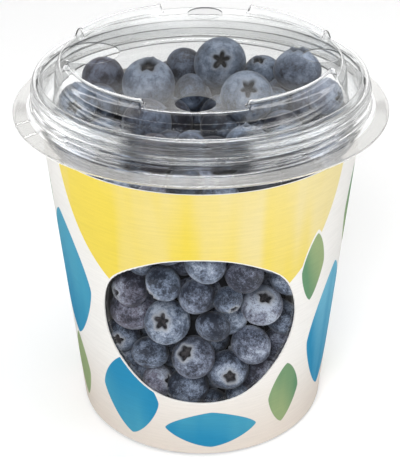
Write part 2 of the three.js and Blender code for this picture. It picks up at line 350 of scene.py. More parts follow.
class Shading:
    """Adds nodes to a node tree and joins them."""

    def __init__(self, tree: bpy.types.NodeTree) -> None:
        """Starts with an empty tree."""
        self.tree = tree
        self.tree.nodes.clear()

    def node(self, kind: str, inputs: dict[str | int, Value], **settings: object) -> bpy.types.Node:
        """Adds one node.

        Args:
            kind: The node's type, without its ShaderNode prefix.
            inputs: A value or a socket for each named or numbered input.
            settings: Properties of the node.

        Returns:
            The node.
        """
        made = self.tree.nodes.new("ShaderNode" + kind)
        for key, value in settings.items():
            setattr(made, key, value)
        for key, value in inputs.items():
            if isinstance(value, bpy.types.NodeSocket):
                self.tree.links.new(value, made.inputs[key])
            else:
                made.inputs[key].default_value = value
        return made

    def math(self, operation: str, *values: Value) -> Socket:
        """One arithmetic step on numbers."""
        return self.node("Math", dict(enumerate(values)), operation=operation).outputs[0]

    def add(self, *values: Value) -> Socket:
        """The sum of two numbers."""
        return self.math("ADD", *values)

    def times(self, *values: Value) -> Socket:
        """The product of two numbers."""
        return self.math("MULTIPLY", *values)

    def larger(self, *values: Value) -> Socket:
        """The larger of two numbers."""
        return self.math("MAXIMUM", *values)

    def apart(self, *values: Value) -> Socket:
        """How far two numbers are from each other."""
        return self.math("ABSOLUTE", self.math("SUBTRACT", *values))

    def vector(self, operation: str, *values: Value) -> Socket:
        """One arithmetic step on vectors."""
        return self.node("VectorMath", dict(enumerate(values)), operation=operation).outputs[0]

    def parts(self, vector: Socket) -> tuple[Socket, Socket, Socket]:
        """The three numbers of a vector."""
        return tuple(self.node("SeparateXYZ", {0: vector}).outputs)

    def blend(self, amount: Value, low: Value, high: Value, how: str = "MIX") -> Socket:
        """A colour that goes from low to high as amount goes from 0 to 1."""
        inputs = {0: amount, 6: low, 7: high}
        return self.node("Mix", inputs, data_type="RGBA", blend_type=how).outputs[2]

    def number(self, amount: Value, low: Value, high: Value) -> Socket:
        """A number that goes from low to high as amount goes from 0 to 1."""
        return self.node("Mix", {0: amount, 2: low, 3: high}).outputs[0]

    def ramp(
        self, value: Value, start: float, end: float, low: float = 0.0, high: float = 1.0
    ) -> Socket:
        """A number that goes smoothly from low to high as value goes from start to end."""
        inputs = {"Value": value, "From Min": start, "From Max": end, "To Min": low, "To Max": high}
        return self.node("MapRange", inputs, interpolation_type="SMOOTHSTEP").outputs[0]

    def noise(
        self, place: Socket, scale: float, detail: float = 3.0, roughness: float = 0.5
    ) -> Socket:
        """Cloudy noise with scale features a metre."""
        inputs = {"Vector": place, "Scale": scale, "Detail": detail, "Roughness": roughness}
        return self.node("TexNoise", inputs).outputs["Fac"]

    def veins(self, noise: Socket, width: float, depth: float) -> Socket:
        """A number that is depth on a noise's middle level and falls to 0 at width from it."""
        return self.ramp(self.apart(noise, 0.5), 0.0, width, depth, 0.0)

    def bump(self, height: Socket, distance: float) -> Socket:
        """A normal tilted by a height of 0 to 1, where 1 stands distance metres proud."""
        inputs = {"Height": height, "Distance": distance, "Strength": 1.0}
        return self.node("Bump", inputs).outputs[0]

    def place(self) -> Socket:
        """The point in the object's own frame, in metres."""
        return self.node("TexCoord", {}).outputs["Object"]

    def mark(self, mark: Mark) -> Socket:
        """A number stored on the mesh."""
        return self.node("Attribute", {}, attribute_name=mark.value).outputs["Fac"]

    def ray(self, *kinds: str) -> Socket:
        """Tells rays of some kinds from others.

        Args:
            kinds: The kinds, as Blender names them.

        Returns:
            1 for a ray of one of the kinds, 0 for others.
        """
        outputs = self.node("LightPath", {}).outputs
        found = outputs[f"Is {kinds[0]} Ray"]
        for kind in kinds[1:]:
            found = self.larger(found, outputs[f"Is {kind} Ray"])
        return found

    def inner(self) -> Socket:
        """1 for a ray that has passed several surfaces on its way, 0 for others."""
        depth = self.node("LightPath", {}).outputs["Transmission Depth"]
        return self.math("GREATER_THAN", depth, SURFACES_PASSED - 0.5)

    def turn(self, x: Socket, y: Socket) -> Socket:
        """The angle between a level direction and one a little left of the front, -Y."""
        angle = self.math("ARCTAN2", x, self.times(y, -1.0))
        return self.math("ABSOLUTE", self.add(angle, MIDDLE_TURN))

    def around(self, turn: Socket, front: float, side: float, back: float) -> Socket:
        """A number by direction: front, then side at the sides, then back behind them."""
        light = self.ramp(turn, *FRONT_TO_SIDE, front, side)
        return self.number(self.ramp(turn, *SIDE_TO_BACK), light, back)

    def mirrored(self) -> Socket:
        """Tells rays that a glossy surface has turned back on their way from others.

        Returns:
            1 for such a ray, 0 for others.
        """
        outputs = self.node("LightPath", {}).outputs
        turned_back = self.math("MINIMUM", outputs["Glossy Depth"], 1.0)
        return self.times(turned_back, self.math("SUBTRACT", 1.0, outputs["Is Diffuse Ray"]))

    def choose(self, amount: Value, low: bpy.types.Node, high: bpy.types.Node) -> Socket:
        """A shader that goes from low's to high's as amount goes from 0 to 1."""
        inputs = {0: amount, 1: low.outputs[0], 2: high.outputs[0]}
        return self.node("MixShader", inputs).outputs[0]


@dataclass(frozen=True)
class Finish:
    """What a surface looks like."""

    name: str

    def material(self) -> bpy.types.Material:
        """Builds the material on first use.

        Returns:
            The material of the finish's name.
        """
        material = bpy.data.materials.get(self.name)
        if material is None:
            material = bpy.data.materials.new(self.name)
            material.use_nodes = True
            shading = Shading(material.node_tree)
            shading.node("OutputMaterial", {"Surface": self.shader(shading)})
        return material

    def shader(self, shading: Shading) -> Socket:
        """Adds the finish's nodes and returns the shader they end in."""
        raise NotImplementedError


@dataclass(frozen=True)
class ClearSheet(Finish):
    """Clear thermoformed plastic: glossy and refracting, but open to light that falls through."""

    tint: Colour = (0.975, 0.98, 0.98, 1.0)
    clearness: float = 1.0
    roughness: float = 0.0
    index: float = 1.5
    waves: float = 60.0  # a metre
    flattened: float = 9.0
    ripple: float = 0.00001  # metres
    light_passed: float = 0.95

    def shader(self, shading: Shading) -> Socket:
        """Refracts for sight, and passes light straight through to what is inside.

        Args:
            shading: The material's tree.

        Returns:
            The shader.
        """
        streaks = shading.vector("MULTIPLY", shading.place(), (1.0, 1.0, self.flattened))
        waves = shading.noise(streaks, self.waves, 2.0)
        glass = shading.node("BsdfPrincipled", {
            "Base Color": self.tint, "Roughness": self.roughness, "IOR": self.index,
            "Transmission Weight": self.clearness, "Normal": shading.bump(waves, self.ripple),
        })
        open_way = shading.node("BsdfTransparent", {"Color": (*[self.light_passed] * 3, 1.0)})
        return shading.choose(shading.ray("Shadow", "Diffuse"), glass, open_way)


class Ink(Enum):
    """The print's colours."""

    CARD = (240, 238, 234)
    WARM_CARD = (226, 215, 204)
    YELLOW = (235, 211, 76)
    PALE_YELLOW = (233, 217, 156)
    TEAL = (60, 155, 185)
    BLUE = (8, 136, 180)
    LIGHT_BLUE = (100, 176, 204)
    GREEN = (148, 168, 118)
    DEEP_GREEN = (96, 142, 104)

    @property
    def colour(self) -> Colour:
        """The ink's linear colour."""
        return srgb(*self.value)


@dataclass(frozen=True)
class Shape:
    """One printed shape, with straight sides and soft corners or rounder, in its own inks.

    Attributes:
        degrees: Its middle's angle round the sleeve from the front, positive to the right.
        height: Its middle's height.
        wide: Half its length across.
        tall: Half its length up.
        ink: Its colour at its lower left.
        end_ink: Its colour at its upper right.
        power: 1 for a diamond, 2 for an oval.
    """

    degrees: float
    height: float
    wide: float
    tall: float
    ink: Ink
    end_ink: Ink
    power: float = 1.4


@dataclass(frozen=True)
class PrintedCard(Finish):
    """Off-white grained card with a print of plain shapes, read from the sleeve's own UV map."""

    shapes: tuple[Shape, ...]
    mean_radius: float
    outline: float = 0.6
    softness: float = 0.12
    fade: tuple[float, float] = (-1.3, 0.9)  # where a shape's ink starts and ends to change
    warm_height: float = 0.045  # metres
    wash_scale: tuple[float, float, float] = (70.0, 9.0, 0.0)  # a metre, as are the next two
    grain_scale: tuple[float, float, float] = (90.0, 1400.0, 0.0)
    fibre_scale: float = 2600.0
    relief: float = 0.00004  # metres

    def shader(self, shading: Shading) -> Socket:
        """Lays the inks over the card one after another, then adds grain and fibres.

        Args:
            shading: The material's tree.

        Returns:
            The shader.
        """
        sheet = shading.node("UVMap", {}, uv_map=SLEEVE_UV).outputs[0]
        height = shading.parts(sheet)[1]
        warmth = shading.ramp(height, 0.0, self.warm_height)
        card = shading.blend(warmth, Ink.WARM_CARD.colour, Ink.CARD.colour)
        wash = shading.noise(shading.vector("MULTIPLY", sheet, self.wash_scale), 1.0, 2.0)
        colour = card
        for shape in self.shapes:
            colour = self.printed(shading, sheet, card, colour, wash, shape)
        colour = shading.blend(shading.mark(Mark.INKED), Ink.CARD.colour, colour)
        stretched = shading.vector("MULTIPLY", sheet, self.grain_scale)
        grain = shading.noise(stretched, 1.0, 3.0, 0.6)
        fibres = shading.noise(shading.place(), self.fibre_scale, 3.0, 0.7)
        speckle = shading.ramp(fibres, 0.3, 0.7, -0.02, 0.01)
        shade = shading.add(shading.ramp(grain, 0.3, 0.7, 0.945, 1.0), speckle)
        grey = shading.node("CombineColor", {0: shade, 1: shade, 2: shade}).outputs[0]
        relief = shading.add(grain, shading.times(fibres, 0.3))
        return shading.node("BsdfPrincipled", {
            "Base Color": shading.blend(1.0, colour, grey, "MULTIPLY"),
            "Roughness": 0.6, "IOR": 1.45, "Normal": shading.bump(relief, self.relief),
        }).outputs[0]

    def printed(
        self, shading: Shading, sheet: Socket, card: Socket, below: Socket, wash: Socket,
        shape: Shape,
    ) -> Socket:
        """Lays one shape, with a bare outline round it, over the colour below it.

        A point is inside where |x / wide|^p + |y / tall|^p < 1, with p the shape's power.

        Args:
            shading: The material's tree.
            sheet: The place on the flat sheet.
            card: The bare card's colour.
            below: The colour so far.
            wash: Noise that makes the ink uneven.
            shape: The shape.

        Returns:
            The colour with the shape on it.
        """
        centre = (math.radians(shape.degrees) * self.mean_radius * MM, shape.height * MM, 0.0)
        x, y, _ = shading.parts(shading.vector("SUBTRACT", sheet, centre))
        half_round = math.pi * self.mean_radius * MM
        x = shading.math("WRAP", x, half_round, -half_round)
        right = shading.math("DIVIDE", x, shape.wide * MM)
        up = shading.math("DIVIDE", y, shape.tall * MM)
        reach = shading.add(
            shading.math("POWER", shading.math("ABSOLUTE", right), shape.power),
            shading.math("POWER", shading.math("ABSOLUTE", up), shape.power),
        )
        narrow = min(shape.wide, shape.tall)
        soft = self.softness / narrow
        border = 1 + shape.power * self.outline / narrow
        bare = shading.blend(shading.ramp(reach, border + soft, border - soft), below, card)
        slope = shading.ramp(shading.add(up, right), *self.fade)
        along = shading.add(slope, shading.ramp(wash, 0.35, 0.65, -0.35, 0.35))
        ink = shading.blend(along, shape.ink.colour, shape.end_ink.colour)
        return shading.blend(shading.ramp(reach, 1 + soft, 1 - soft), bare, ink)


@dataclass(frozen=True)
class BerrySkin(Finish):
    """Slate-blue skin under a patchy waxy bloom with a fine dark network, dark at the crown.

    Attributes:
        bare: Skin without bloom.
        blushed: The same on berries that are a little unripe.
        bloom: Skin under a thin bloom.
        blushed_bloom: The same on berries that are a little unripe.
        thick_bloom: Skin under a thick bloom.
        basin: The inside of the crown.
        basin_light: Dry flecks in there.
        sepal: The crown's rim.
        tone: How much bloom the berries have, from 0 to 1.
        spread: How much that differs from berry to berry.
        patches: How much it differs over a berry.
        mottle: How much it differs from millimetre to millimetre.
        network: How much the fine dark lines take away.
        lift: Painted light and shade by height: bloom added a millimetre above unshaded_height,
            taken away below.
        unshaded_height: The height at which lift adds nothing.
        cloud_scale: Size of the patches, in features a metre, as are the next three.
        mottle_scale: Size of the mottle.
        network_scale: Size of the dark lines.
        fine_scale: Size of the finer lines between them.
        thin: The amounts of bloom between which bare skin gets its thin bloom.
        thick: The amounts between which thin bloom becomes thick.
        relief: Height of the skin's roughness, in metres.
    """

    bare: Colour = srgb(42, 48, 62)
    blushed: Colour = srgb(58, 48, 58)
    bloom: Colour = srgb(126, 140, 163)
    blushed_bloom: Colour = srgb(128, 122, 138)
    thick_bloom: Colour = srgb(192, 203, 220)
    basin: Colour = srgb(26, 27, 32)
    basin_light: Colour = srgb(88, 84, 86)
    sepal: Colour = srgb(168, 172, 180)
    tone: float = 0.46
    spread: float = 0.2
    patches: float = 0.38
    mottle: float = 0.36
    network: float = 0.6
    lift: float = 0.0
    unshaded_height: float = 112.0
    cloud_scale: float = 150.0
    mottle_scale: float = 640.0
    network_scale: float = 400.0
    fine_scale: float = 1000.0
    thin: tuple[float, float] = (-0.15, 0.75)
    thick: tuple[float, float] = (0.6, 1.35)
    relief: float = 0.00012

    def shader(self, shading: Shading) -> Socket:
        """Mixes bare skin and bloom by noise at three scales and each berry's own tone.

        Args:
            shading: The material's tree.

        Returns:
            The shader.
        """
        place = shading.place()
        cloud = shading.noise(place, self.cloud_scale, 3.0, 0.6)
        mottle = shading.noise(place, self.mottle_scale, 6.0, 0.85)
        network = shading.noise(place, self.network_scale, 6.0, 0.7)
        fine_network = shading.noise(place, self.fine_scale, 4.0, 0.6)
        amount = shading.mark(Mark.TONE)
        for part in (
            shading.ramp(cloud, 0.34, 0.66, -self.patches, self.patches),
            shading.ramp(mottle, 0.36, 0.64, -self.mottle, self.mottle),
            shading.veins(network, 0.025, -self.network),
            shading.veins(fine_network, 0.05, -0.6 * self.network),
        ):
            amount = shading.add(amount, part)
        patchy = shading.ramp(cloud, 0.3, 0.6, 0.4, 1.0)
        blush = shading.times(shading.mark(Mark.BLUSH), patchy)
        bare = shading.blend(blush, self.bare, self.blushed)
        bloom = shading.blend(blush, self.bloom, self.blushed_bloom)
        skin = shading.blend(shading.ramp(amount, *self.thin), bare, bloom)
        skin = shading.blend(shading.ramp(amount, *self.thick), skin, self.thick_bloom)
        skin = shading.blend(shading.mark(Mark.RIM), skin, self.sepal)
        dry = shading.blend(shading.ramp(mottle, 0.42, 0.62), self.basin, self.basin_light)
        skin = shading.blend(shading.mark(Mark.BASIN), skin, dry)
        relief = shading.add(mottle, shading.times(network, 0.5))
        return shading.node("BsdfPrincipled", {
            "Base Color": skin, "Roughness": shading.ramp(amount, 0.0, 0.8, 0.38, 0.62),
            "IOR": 1.42, "Sheen Weight": 0.2, "Sheen Roughness": 0.35,
            "Normal": shading.bump(relief, self.relief),
        }).outputs[0]


@dataclass(frozen=True)
class DeepShade(Finish):
    """The dark of berries packed behind berries, as painted shade."""

    dark: Colour = srgb(16, 18, 24)
    light: Colour = srgb(30, 33, 42)

    def shader(self, shading: Shading) -> Socket:
        """Painted shade: dark skin with soft lumps.

        Args:
            shading: The material's tree.

        Returns:
            The shader.
        """
        lumps = shading.noise(shading.place(), 160.0, 3.0)
        base = shading.blend(shading.ramp(lumps, 0.35, 0.65), self.dark, self.light)
        return shading.node("BsdfPrincipled", {
            "Base Color": base, "Roughness": 0.8, "Normal": shading.bump(lumps, 0.001),
        }).outputs[0]


@dataclass(frozen=True)
class StudioPaper(Finish):
    """The pale floor, with a glow of its own, and a dark card in front where plastic mirrors it."""

    colour: Colour = (0.86, 0.86, 0.86, 1.0)
    lighter: Colour = (0.88, 0.88, 0.88, 1.0)
    glow: float = 0.2
    glow_behind: float = 0.38
    mirrored_near: float = 0.06
    mirrored_front: float = 0.06
    mirrored_side: float = 5.0
    mirrored_back: float = 0.6
    mirrored_far: float = 0.6
    mirrored_inside: float = 0.3
    near_edge: tuple[float, float] = (0.19, 0.25)  # metres from the tub
    far_edge: tuple[float, float] = (0.55, 0.75)  # metres from the tub
    behind_edge: tuple[float, float] = (1.3, 1.7)  # radians

    def shader(self, shading: Shading) -> Socket:
        """Nearly even matt paper to the eye, and brighter behind several sheets of plastic.

        Where plastic mirrors it, it is dark near the tub and in front, and bright at the sides: a
        little farther out very bright, and in the distance only behind the tub.

        Args:
            shading: The material's tree.

        Returns:
            The shader.
        """
        place = shading.place()
        cloud = shading.noise(place, 3.0, 2.0)
        base = shading.blend(shading.ramp(cloud, 0.2, 0.8), self.colour, self.lighter)
        glow = shading.number(shading.inner(), self.glow, self.glow_behind)
        paper = shading.node("BsdfPrincipled", {
            "Base Color": base, "Roughness": 0.9,
            "Emission Color": WHITE, "Emission Strength": glow,
        })
        x, y, _ = shading.parts(place)
        turn = shading.turn(x, y)
        light = shading.around(turn, self.mirrored_front, self.mirrored_side, self.mirrored_back)
        away = shading.node("VectorMath", {0: place}, operation="LENGTH").outputs["Value"]
        light = shading.number(shading.ramp(away, *self.near_edge), self.mirrored_near, light)
        far = shading.ramp(turn, *self.behind_edge, self.mirrored_front, self.mirrored_far)
        light = shading.number(shading.ramp(away, *self.far_edge), light, far)
        inside = shading.times(shading.inner(), self.mirrored_inside)
        light = shading.larger(light, inside)
        mirrored = shading.node("Emission", {"Color": WHITE, "Strength": light})
        return shading.choose(shading.mirrored(), paper, mirrored)


CLEAR_CUP = ClearSheet("clear cup plastic")
CLEAR_LID = ClearSheet("clear lid plastic")
FROSTED_LID = ClearSheet(
    "frosted lid flange", tint=(0.74, 0.735, 0.72, 1.0), clearness=0.8, roughness=0.06
)
CUT_EDGE = ClearSheet("cut lid edge", tint=(0.3, 0.31, 0.32, 1.0), clearness=0.6, roughness=0.3)
BERRY = BerrySkin("berry skin")
# The berries on top: a smoother skin, and darker colours that are painted shade. Its lift adds
# painted light and shade by height.
SHADED_TOP_BERRY = BerrySkin(
    "smoother shaded berry skin", bare=srgb(20, 25, 36), bloom=srgb(104, 118, 138),
    blushed_bloom=srgb(106, 110, 126), thick_bloom=srgb(156, 168, 186), basin=srgb(10, 12, 16),
    basin_light=srgb(52, 50, 50), sepal=srgb(130, 138, 150),
    tone=0.42, spread=0.14, patches=0.4, mottle=0.2, network=0.4, lift=0.035,
)
SHADE = DeepShade("deep shade")
PAPER = StudioPaper("studio paper")


# ---- cup


@dataclass
class Cup:
    """The tapered clear cup, with a step and a ridged bead under the lid."""

    foot_radius: float = 41.6
    base_radius: float = 42.8
    draft: float = 0.0805
    floor: float = 1.2
    cad_wall: float = 0.9
    sheet: float = 0.45
    shoulder: float = 109.5
    step: float = 2.0
    rim_radius: float = 53.1
    top: float = 121.8
    ridge_gap: float = 0.9
    ridge_depth: float = 0.28
    ridge_fade: tuple[float, float] = (1.4, 1.9)  # radians from the front
    facets: int = 240

    def outside(self, height: Array | float) -> Array | float:
        """Radius of the outer wall at a height below the shoulder."""
        return self.base_radius + self.draft * height

    def inside(self, height: Array | float) -> Array | float:
        """Radius of the free space at a height, as the CAD's cup leaves it."""
        return self.outside(height) - self.cad_wall - CLEARANCE

    def build(self) -> None:
        """Turns a thin sheet of the smooth outer line, blended into the ridged one in front."""
        angles = even_angles(self.facets)
        front = (1 - smoothstep(np.abs(angles), *self.ridge_fade))[:, None, None]
        smooth, ridged = self.sheet_section(0.0), self.sheet_section(self.ridge_depth)
        cup = turned_object("clear_cup", smooth + front * (ridged - smooth), angles)
        dress(cup, [CLEAR_CUP], "clear_plastic", "cup")

    def sheet_section(self, ridge_depth: float) -> Array:
        """The sheet's section: the outer line with rounded corners, then the inner line beside it.

        Args:
            ridge_depth: How deep the neck's level grooves are.

        Returns:
            Points as (radius, height) rows.
        """
        neck = self.rim_radius - 0.4
        ridges = np.arange(self.shoulder + self.step + 1.5, self.top - 2.4, self.ridge_gap)
        outer = rounded(np.array([
            [0.0, 0.9],
            [self.foot_radius - 5.0, 0.9],
            [self.foot_radius - 4.2, 0.0],
            [self.foot_radius, 0.0],
            [self.outside(1.4), 1.4],
            [self.outside(self.shoulder), self.shoulder],
            [neck, self.shoulder + self.step],
            *[[neck - ridge_depth * (k % 2), height] for k, height in enumerate(ridges)],
            [neck, self.top - 2.0],
            [self.rim_radius, self.top - 1.2],
            [self.rim_radius - 0.2, self.top],
            [self.rim_radius - 0.8, self.top],
        ]), 0.8, 5)
        inner = offset(outer, -self.sheet)
        inner[0, 0] = 0.0
        return np.vstack([outer, inner[::-1]])


# ---- sleeve


@dataclass
class Sleeve:
    """The card sleeve, wrapped round the cup and glued over itself at the back.

    A narrow margin round its window is bare, and margin_depth lower than the print.
    """

    cup: Cup
    card: float = 0.5
    bottom: float = 1.0
    top: float = 106.4
    mean_radius: float = 48.0
    overlap_degrees: float = 12.0
    margin: float = 0.4
    margin_depth: float = 0.05
    facets: int = 300
    rows: int = 24
    outline: tuple[tuple[float, float], ...] = (
        (2.0, 82.6), (15.0, 79.2), (26.2, 70.5), (30.4, 55.0), (26.4, 39.6),
        (14.8, 27.2), (-1.0, 24.2), (-17.4, 28.1), (-29.0, 42.0), (-31.6, 58.0),
        (-27.5, 71.5), (-13.5, 80.6),
    )
    shapes: tuple[Shape, ...] = (
        Shape(0.0, 112.0, 49.0, 54.0, Ink.YELLOW, Ink.PALE_YELLOW, 2.0),
        Shape(180.0, 112.0, 49.0, 50.0, Ink.YELLOW, Ink.PALE_YELLOW, 2.0),
        Shape(-66.0, 60.0, 15.0, 25.0, Ink.BLUE, Ink.TEAL),
        Shape(66.0, 38.0, 14.0, 26.0, Ink.BLUE, Ink.LIGHT_BLUE),
        Shape(-33.0, 22.0, 12.0, 17.0, Ink.TEAL, Ink.BLUE),
        Shape(4.0, 12.0, 17.0, 8.0, Ink.BLUE, Ink.TEAL),
        Shape(38.0, 21.0, 7.0, 13.0, Ink.GREEN, Ink.DEEP_GREEN),
        Shape(-68.0, 20.0, 7.0, 14.0, Ink.GREEN, Ink.GREEN),
        Shape(47.0, 70.0, 5.5, 13.0, Ink.DEEP_GREEN, Ink.GREEN),
        Shape(-82.0, 88.0, 5.5, 13.0, Ink.GREEN, Ink.DEEP_GREEN),
        Shape(76.0, 82.0, 5.5, 15.0, Ink.GREEN, Ink.DEEP_GREEN),
        Shape(104.0, 50.0, 16.0, 26.0, Ink.TEAL, Ink.BLUE),
        Shape(100.0, 14.0, 8.0, 11.0, Ink.GREEN, Ink.DEEP_GREEN),
        Shape(-106.0, 44.0, 16.0, 26.0, Ink.TEAL, Ink.LIGHT_BLUE),
        Shape(-104.0, 12.0, 8.0, 9.0, Ink.DEEP_GREEN, Ink.GREEN),
        Shape(140.0, 30.0, 14.0, 22.0, Ink.BLUE, Ink.TEAL),
        Shape(-144.0, 34.0, 14.0, 24.0, Ink.BLUE, Ink.LIGHT_BLUE),
        Shape(180.0, 30.0, 16.0, 20.0, Ink.TEAL, Ink.BLUE),
        Shape(160.0, 62.0, 6.0, 12.0, Ink.GREEN, Ink.DEEP_GREEN),
        Shape(-162.0, 60.0, 6.0, 12.0, Ink.DEEP_GREEN, Ink.GREEN),
    )

    def build(self) -> None:
        """Makes the wrap, cuts its window, lays its UV map and dresses it."""
        sleeve = self.wrap()
        cut_away(sleeve, [self.window_block(), self.margin_ring()], 30.0)
        self.lay_flat(sleeve.data)
        card = PrintedCard("printed card", self.shapes, self.mean_radius)
        dress(sleeve, [card], "printed_card", "sleeve")

    def wrap(self) -> bpy.types.Object:
        """The closed card before its window is cut.

        Its section at an angle is a thin upright strip that follows the cup's taper. Over the last
        degrees it rises smoothly by a card's thickness, to pass over its own start.

        Returns:
            The card.
        """
        end = math.pi + math.radians(self.overlap_degrees / 2)
        angles = np.linspace(-end, end, self.facets + 1)
        overlap = math.radians(self.overlap_degrees)
        seam = end - overlap
        rise = (self.card + 0.05) * smoothstep(angles, seam - overlap, seam)
        heights = np.linspace(self.bottom, self.top, self.rows)
        inner = self.cup.outside(heights) + CLEARANCE
        radius = np.concatenate([inner + self.card, inner[::-1]])
        height = np.concatenate([heights, heights[::-1]])
        points = revolved(radius[None] + rise[:, None], height[None], angles)
        columns = len(height)
        row = np.arange(self.rows - 1)
        cap = np.stack([row, row + 1, columns - 2 - row, columns - 1 - row], axis=-1)
        last = self.facets * columns
        faces = np.vstack([grid_quads(len(angles), columns, False, True), cap, cap[:, ::-1] + last])
        return mesh_object("card_sleeve", points, faces.tolist())

    def window_block(self) -> bpy.types.Object:
        """A block in the window's shape, from inside the card to well outside it."""
        return block("window", self.window_line(0.0, 0.8), self.window_line(0.0, 1.6))

    def margin_ring(self) -> bpy.types.Object:
        """Makes a closed ring along the window's edge that takes margin_depth off the card.

        Returns:
            The ring.
        """
        low = 1 - self.margin_depth / self.mean_radius
        sides = ((-0.3, low), (self.margin, low), (self.margin, 1.1), (-0.3, 1.1))
        points = np.array([self.window_line(grow, share) for grow, share in sides])
        return mesh_object("margin", points, grid_quads(4, points.shape[1], True, True).tolist())

    def window_line(self, grow: float, share: float) -> Array:
        """The window's outline on the card, scaled about the tub's axis.

        Args:
            grow: How far outside the window's edge it runs.
            share: Its radius as a share of the card's outer radius.

        Returns:
            (n, 3) points.
        """
        outline = self.window_outline()
        middle = outline.mean(axis=0)
        outward = (outline - middle) / np.linalg.norm(outline - middle, axis=1, keepdims=True)
        x, height = (outline + grow * outward).T
        curve = np.column_stack([x, -np.sqrt(self.outside(height) ** 2 - x**2), height])
        return curve * (share, share, 1.0)

    def outside(self, height: Array) -> Array:
        """Radius of the card's outer face at a height."""
        return self.cup.outside(height) + CLEARANCE + self.card

    def window_outline(self, steps: int = 8) -> Array:
        """The window's outline: a closed curve through its points, as x and height.

        Between points P1 and P2, with P0 before and P3 after them, the curve is the Catmull-Rom
        spline, half of 2 P1 + (P2 - P0) t + (2 P0 - 5 P1 + 4 P2 - P3) t^2
        + (3 P1 - P0 - 3 P2 + P3) t^3.

        Args:
            steps: Points between each point and the next.

        Returns:
            One row for each point.
        """
        p1 = np.array(self.outline)[:, None]
        p0, p2, p3 = (np.roll(p1, shift, axis=0) for shift in (1, -1, -2))
        t = np.linspace(0.0, 1.0, steps, endpoint=False)[None, :, None]
        square = 2 * p0 - 5 * p1 + 4 * p2 - p3
        cube = 3 * p1 - p0 - 3 * p2 + p3
        return 0.5 * (2 * p1 + (p2 - p0) * t + square * t**2 + cube * t**3).reshape(-1, 2)

    def lay_flat(self, mesh: bpy.types.Mesh) -> None:
        """Writes the UV map and marks the outer faces as inked.

        In the map, u is the angle from the front times the mean radius and v the height, in metres.
        A face that crosses the back keeps to one side of it with all its corners.

        Args:
            mesh: The sleeve's mesh.
        """
        corner = np.empty(len(mesh.loops), dtype=np.int32)
        mesh.loops.foreach_get("vertex_index", corner)
        points = np.empty(len(mesh.vertices) * 3)
        mesh.vertices.foreach_get("co", points)
        place = points.reshape(-1, 3)[corner]
        sizes = np.empty(len(mesh.polygons), dtype=np.int32)
        mesh.polygons.foreach_get("loop_total", sizes)
        angle = np.arctan2(place[:, 0], -place[:, 1])
        starts = np.concatenate([[0], np.cumsum(sizes)[:-1]])
        spread = np.maximum.reduceat(angle, starts) - np.minimum.reduceat(angle, starts)
        crosses = np.repeat(spread > math.pi, sizes) & (angle < 0)
        across = np.where(crosses, angle + FULL_TURN, angle) * self.mean_radius * MM
        layer = mesh.uv_layers.new(name=SLEEVE_UV)
        layer.uv.foreach_set("vector", np.column_stack([across, place[:, 2]]).ravel())
        middle, normal = face_values(mesh, "center"), face_values(mesh, "normal")
        outward = (middle[:, :2] * normal[:, :2]).sum(axis=1) / np.hypot(middle[:, 0], middle[:, 1])
        proud = np.hypot(middle[:, 0], middle[:, 1]) / MM - self.outside(middle[:, 2] / MM)
        inked = mesh.attributes.new(Mark.INKED.value, "FLOAT", "FACE")
        printed = (outward > 0.8) & (proud > -0.6 * self.margin_depth)
        inked.data.foreach_set("value", printed.astype(float))


# ---- lid


